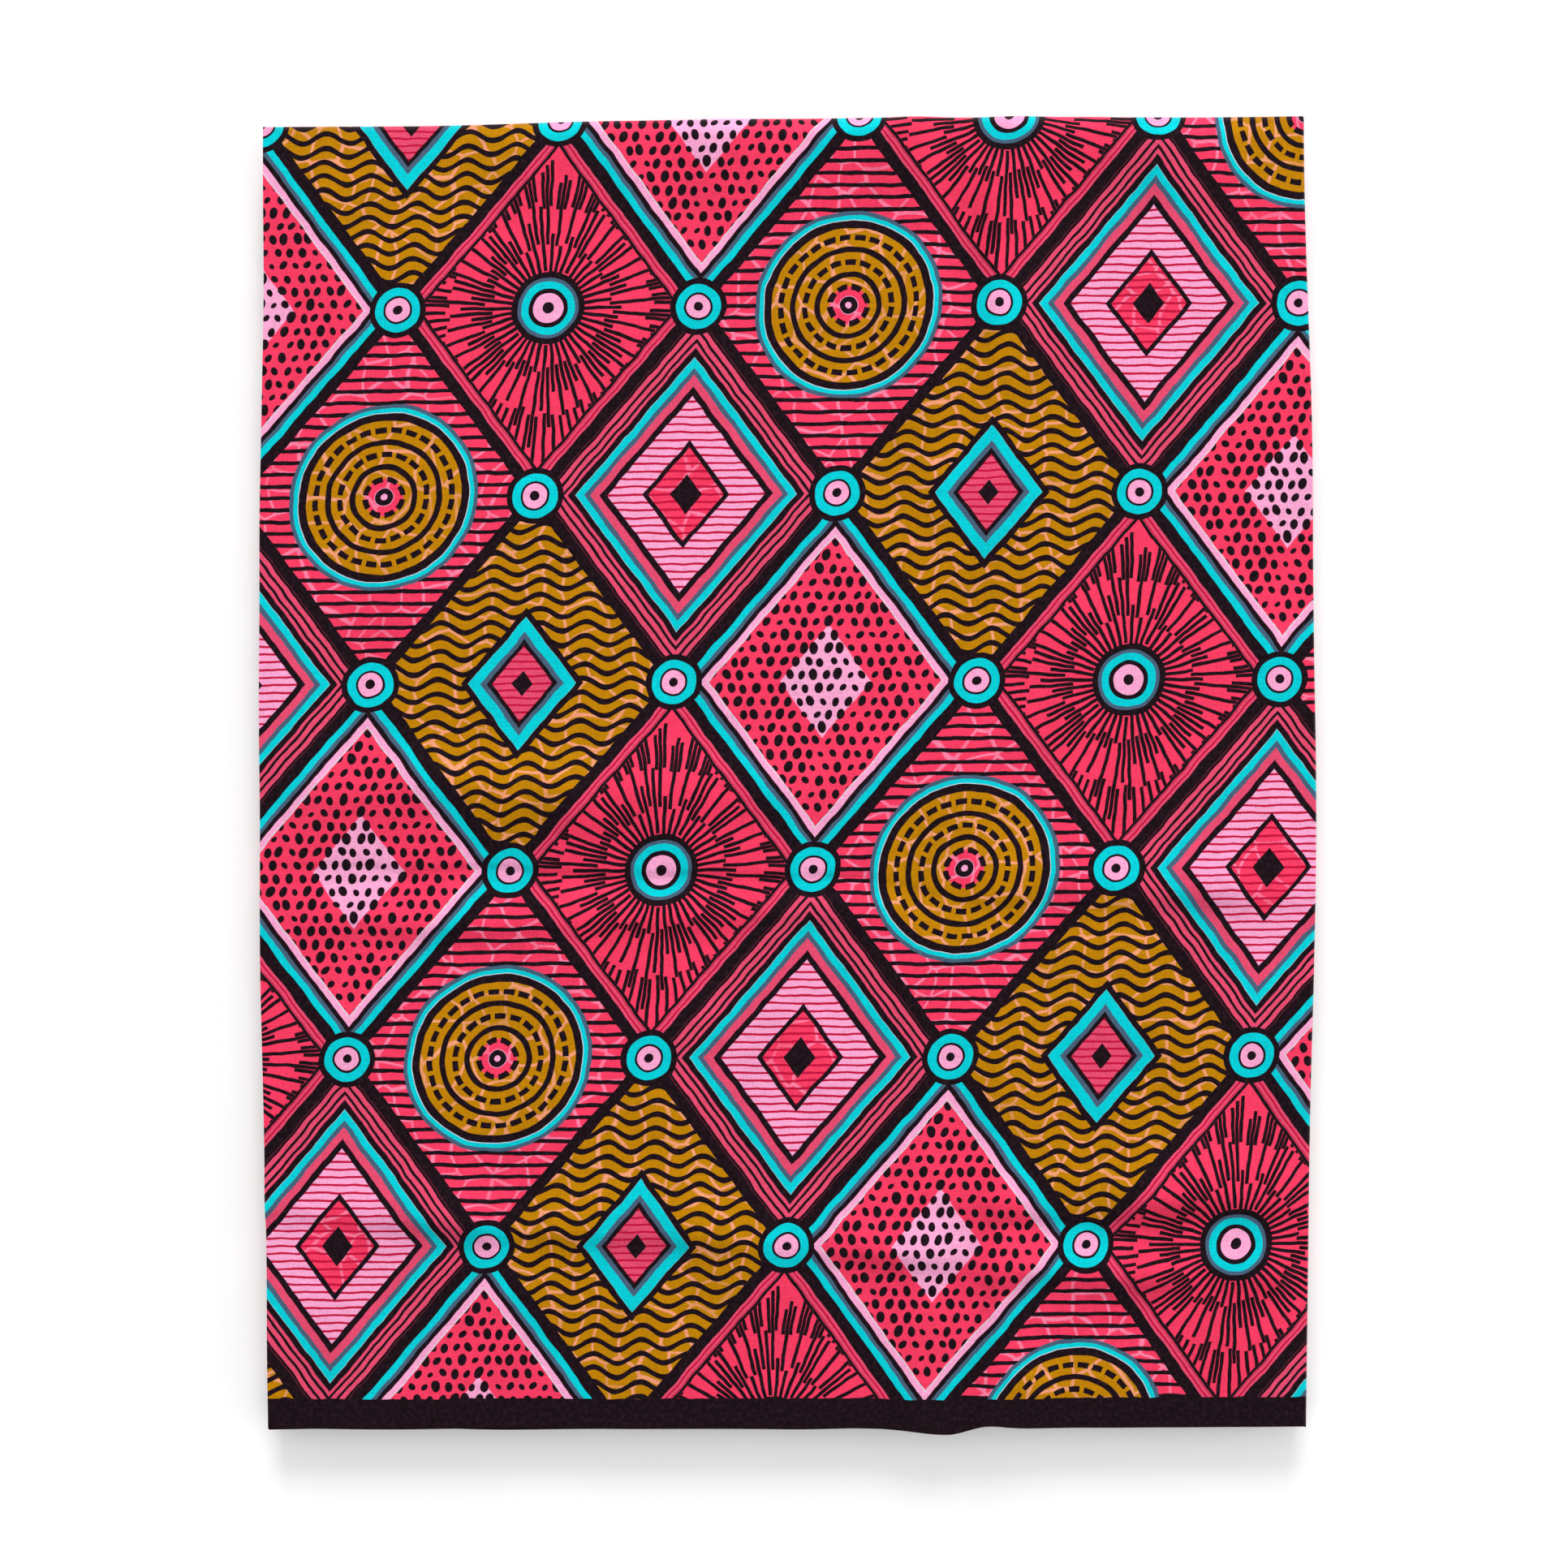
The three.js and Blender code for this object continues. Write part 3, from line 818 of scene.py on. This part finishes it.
def wax_print(tree, along, across):
    """The printed colour, from the place in the cut in millimetres, and how much of it is black."""
    place = point_at(tree, along, across)
    wobble = parts_of(tree, noise_at(tree, place, 0.09, detail=2.0, roughness=0.45)["Color"])
    along = along + wobble[0] * STRAY
    across = across + wobble[1] * STRAY
    leaning = (along + across * LEAN) / LOZENGE_WIDE
    upright = across / LOZENGE_TALL
    rising, falling = leaning + upright, leaning - upright
    column, row = rising.floor(), falling.floor()
    a, b = rising - column - 0.5, falling - row - 0.5
    x, y = (a + b) * (LOZENGE_WIDE / 2), (a - b) * (LOZENGE_TALL / 2)
    rim = (0.5 - (abs(a) | abs(b))) * LOZENGE_GAP
    kind = (column + row * 2) % len(FILLINGS)

    masks = {}
    for index, filling in enumerate(FILLINGS):
        here = kind.worked("COMPARE", float(index), 0.5)
        for name, mask in filling(x=x, y=y, rim=rim, tree=tree).items():
            masks.setdefault(name, []).append(mask & here)

    def all_of(name):
        found = masks[name][0]
        for mask in masks[name][1:]:
            found = found + mask
        return found

    # Wax crackle: pale veins where the dye has run into cracks of the wax.
    drift = parts_of(tree, noise_at(tree, place, 0.04, detail=0.0)["Color"])
    bent = point_at(tree, along + drift[0] * CRACK_BEND, across + drift[1] * CRACK_BEND)
    cells = {"voronoi_dimensions": "2D", "feature": "DISTANCE_TO_EDGE"}
    cracks = add_node(tree, "ShaderNodeTexVoronoi", cells, Vector=bent, Scale=1 / CRACK_CELL)
    crackle = Measure(cracks.outputs["Distance"]).worked("MULTIPLY_ADD", -22.0, 1.6, clamp=True)
    patchy = (drift[2] - 0.5).worked("MULTIPLY_ADD", 1.4, 0.95, clamp=True)

    ochre = all_of("ochre")
    colour = paint(tree, CRIMSON, OCHRE, ochre)
    colour = paint(tree, colour, paint(tree, ROSE, PEACH, ochre), crackle & patchy & all_of("veined"))
    colour = paint(tree, colour, DULL_CRIMSON, all_of("dull"))
    colour = paint(tree, colour, PALE_PINK, all_of("pink"))
    colour = paint(tree, colour, DEEP_CRIMSON, all_of("deep"))
    colour = paint(tree, colour, TURQUOISE, all_of("turquoise"))
    colour = paint(tree, colour, SLATE, all_of("slate"))
    colour = paint(tree, colour, BARE, all_of("bare"))

    # The net of black lines, and a stud where its lines cross.
    to_corner = [(value + 0.5).worked("FRACT") - 0.5 for value in (rising, falling)]
    corner_x = (to_corner[0] + to_corner[1]) * (LOZENGE_WIDE / 2)
    corner_y = (to_corner[0] - to_corner[1]) * (LOZENGE_TALL / 2)
    stud = length_of(tree, corner_x, corner_y)
    net = rim.under(NET_LINE / 2)
    outside = across.worked("ABSOLUTE").over(PANEL_WIDTH - SELVEDGE)
    stud_inside, stud_outside = STUD_RIM
    filled = all_of("ink") & stud.over(stud_outside - UNDER_BLACK)
    ink = filled | net | stud.between(*STUD_RIM) | outside | stud.under(STUD_DOT)
    colour = paint(tree, colour, TURQUOISE, stud.between(STUD_EYE, stud_inside + UNDER_BLACK))
    colour = paint(tree, colour, PALE_PINK, stud.under(STUD_EYE))
    ink = ink & (1 - (stud.between(STUD_DOT, stud_inside) & (1 - outside)))
    ink = ink | stud.between(*STUD_LINE)
    # Random patches where the black is lighter: painted sheen on the ink, laid by noise.
    sheen_noise = parts_of(tree, noise_at(tree, place, 0.5, detail=3.0)["Color"])[0]
    painted_sheen = (sheen_noise - 0.42).worked("MULTIPLY", 2.0, clamp=True)
    colour = paint(tree, colour, paint(tree, BLACK, SHEENED_BLACK, painted_sheen), ink)
    return colour, ink


def wax_print_cotton():
    """Plain-woven cotton, printed on both faces."""
    material = bpy.data.materials.new("printed_cotton")
    material.use_nodes = True
    tree = material.node_tree
    shader = tree.nodes["Principled BSDF"]
    cut = add_node(tree, "ShaderNodeUVMap", {"uv_map": "cut"})
    in_mm = add_node(tree, "ShaderNodeVectorMath", {"operation": "SCALE"}, Scale=1 / MM)
    tree.links.new(cut.outputs[0], in_mm.inputs[0])
    along, across, _ = parts_of(tree, in_mm.outputs[0])
    printed, ink = wax_print(tree, along, across)

    # Threads, the speckle of their crossings, slubs both ways and the uneven take-up of the dye.
    warp = (along * (math.tau / THREAD)).sine()
    weft = (across * (math.tau / THREAD)).sine()
    weave = warp * weft
    speckle = Measure(noise_at(tree, in_mm.outputs[0], 1.7, detail=1.0)[0]) - 0.5
    slubs = Measure(noise_at(tree, point_at(tree, along / 7, across * 1.6), 1.0, detail=1.0)[0]) - 0.5
    ribs = Measure(noise_at(tree, point_at(tree, along * 1.6, across / 5), 1.0, detail=1.0)[0]) - 0.5
    dye = Measure(noise_at(tree, in_mm.outputs[0], 0.03, detail=5.0, roughness=0.6)[0]) - 0.5
    creased = Measure(add_node(tree, "ShaderNodeAttribute", {"attribute_name": "creased"}).outputs["Fac"])
    shade = 1.0 + weave * TONES["weave"] + speckle * TONES["speckle"] + slubs * TONES["slubs"]
    shade = shade + ribs * TONES["ribs"] + dye * TONES["dye"]
    tone = add_node(tree, "ShaderNodeVectorMath", {"operation": "SCALE"})
    tree.links.new(printed, tone.inputs[0])
    feed(tree, shade, tone.inputs["Scale"])
    colour = paint(tree, tone.outputs[0], RUBBED, creased * WORN)
    tree.links.new(colour, shader.inputs["Base Color"])

    rough = COTTON_ROUGHNESS + slubs * 0.25 - ink * 0.06
    feed(tree, rough, shader.inputs["Roughness"])
    height = weave * HEIGHTS["weave"] + slubs * HEIGHTS["slubs"] + ribs * HEIGHTS["ribs"]
    height = height + dye * HEIGHTS["dye"]
    bump = add_node(tree, "ShaderNodeBump", Strength=0.35, Distance=BUMP_HEIGHT * MM, Height=height)
    tree.links.new(bump.outputs[0], shader.inputs["Normal"])
    shader.inputs["Specular IOR Level"].default_value = 0.05
    shader.inputs["Sheen Weight"].default_value = 0.01
    shader.inputs["Sheen Roughness"].default_value = 0.5
    return material


# ---------------------------------------------------------------- the three stretches that show


def top_cloth():
    stations = run(1, -HALF_LENGTH, TURN_X, TOP_RUN_BANDS) + turn(1)
    stations += run(2, TURN_X, TAIL_END_X, HIDDEN_RUN_BANDS)
    across = across_lines(TOP_PLY_BANDS, UNDER_PLY_BANDS)
    return folded_cloth("top_cloth", stations, across, top_shape, 0.0)


def layered_cloth(cut_start):
    hidden_end = TAIL_END_X - PANEL_GAP
    stations = []
    start_x = hidden_end
    for panel in range(2, PANELS):
        side = 1 if panel % 2 else -1
        last = panel == PANELS - 1
        end_x = hidden_end if last else side * (TURN_X - TURN_SLIPS[panel])
        stations += run(panel, start_x, end_x, HIDDEN_RUN_BANDS)
        if not last:
            stations += turn(panel)
        start_x = end_x
    across = across_lines(HIDDEN_PLY_BANDS, HIDDEN_PLY_BANDS)
    return folded_cloth("layered_cloth", stations, across, hidden_shape, cut_start)


def bottom_cloth(cut_start):
    stations = run(PANELS - 1, TAIL_END_X, TURN_X, HIDDEN_RUN_BANDS) + turn(PANELS - 1)
    stations += run(PANELS, TURN_X, -HALF_LENGTH, BOTTOM_RUN_BANDS)
    across = across_lines(BOTTOM_PLY_BANDS, HIDDEN_PLY_BANDS)
    return folded_cloth("bottom_cloth", stations, across, bottom_shape, cut_start)


def dress(piece, node, material, flat_length):
    piece.data.materials.clear()
    piece.data.materials.append(material)
    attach(piece, "root")
    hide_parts(node)
    flat_length * MM


# ---------------------------------------------------------------- floor, light and camera

VIEW_WIDTH = 0.6897  # what the camera sees across, at the top panel
VIEW_CENTRE = (-0.0017, -0.0039)
LENS = 60.0
SENSOR = 36.0
FLOOR_SIZE = 12.0
FLOOR_PALE = (0.85, 0.85, 0.85, 1.0)


def pale_floor():
    bpy.ops.object.select_all(action="DESELECT")
    bpy.ops.mesh.primitive_plane_add(size=FLOOR_SIZE)
    floor = bpy.context.object
    floor.name = "floor"
    material = bpy.data.materials.new("pale_floor")
    material.use_nodes = True
    shader = material.node_tree.nodes["Principled BSDF"]
    shader.inputs["Base Color"].default_value = FLOOR_PALE
    shader.inputs["Roughness"].default_value = 0.9
    floor.data.materials.append(material)


def lamp(name, azimuth, elevation, distance, size, power):
    """A soft lamp aimed at the cloth. Azimuth 0 is at the back, past the middle fold."""
    light = bpy.data.lights.new(name, "AREA")
    light.shape = "DISK"
    light.size = size
    light.energy = power
    lamp_object = bpy.data.objects.new(name, light)
    bpy.context.scene.collection.objects.link(lamp_object)
    azimuth, elevation = math.radians(azimuth), math.radians(elevation)
    place = Vector((
        distance * math.cos(elevation) * math.sin(azimuth),
        distance * math.cos(elevation) * math.cos(azimuth),
        distance * math.sin(elevation),
    ))
    lamp_object.location = place
    lamp_object.rotation_euler = (-place).to_track_quat("-Z", "Y").to_euler()


def light_and_camera():
    lamp("window", azimuth=0, elevation=27, distance=6.0, size=2.8, power=318)
    lamp("reflector", azimuth=84, elevation=22, distance=6.0, size=2.6, power=98)
    world = bpy.data.worlds.new("room")
    world.use_nodes = True
    background = world.node_tree.nodes["Background"]
    background.inputs["Color"].default_value = (1.0, 1.0, 1.0, 1.0)
    background.inputs["Strength"].default_value = 0.88
    bpy.context.scene.world = world
    bpy.context.scene.view_settings.view_transform = "Standard"

    camera_data = bpy.data.cameras.new("camera")
    camera_data.lens = LENS
    camera_data.sensor_width = SENSOR
    camera = bpy.data.objects.new("camera", camera_data)
    bpy.context.scene.collection.objects.link(camera)
    top = (panel_height(1) + PANEL_THICK / 2) * MM
    camera.location = (*VIEW_CENTRE, top + VIEW_WIDTH * LENS / SENSOR)
    bpy.context.scene.camera = camera


def main():
    light_and_camera()
    pale_floor()
    material = wax_print_cotton()
    top, top_end = top_cloth()
    layers, layers_end = layered_cloth(top_end)
    bottom, bottom_end = bottom_cloth(layers_end)
    dress(top, "top_panel", material, top_end)
    dress(layers, "folded_layers", material, layers_end - top_end)
    dress(bottom, "bottom_panel", material, bottom_end - layers_end)


main()
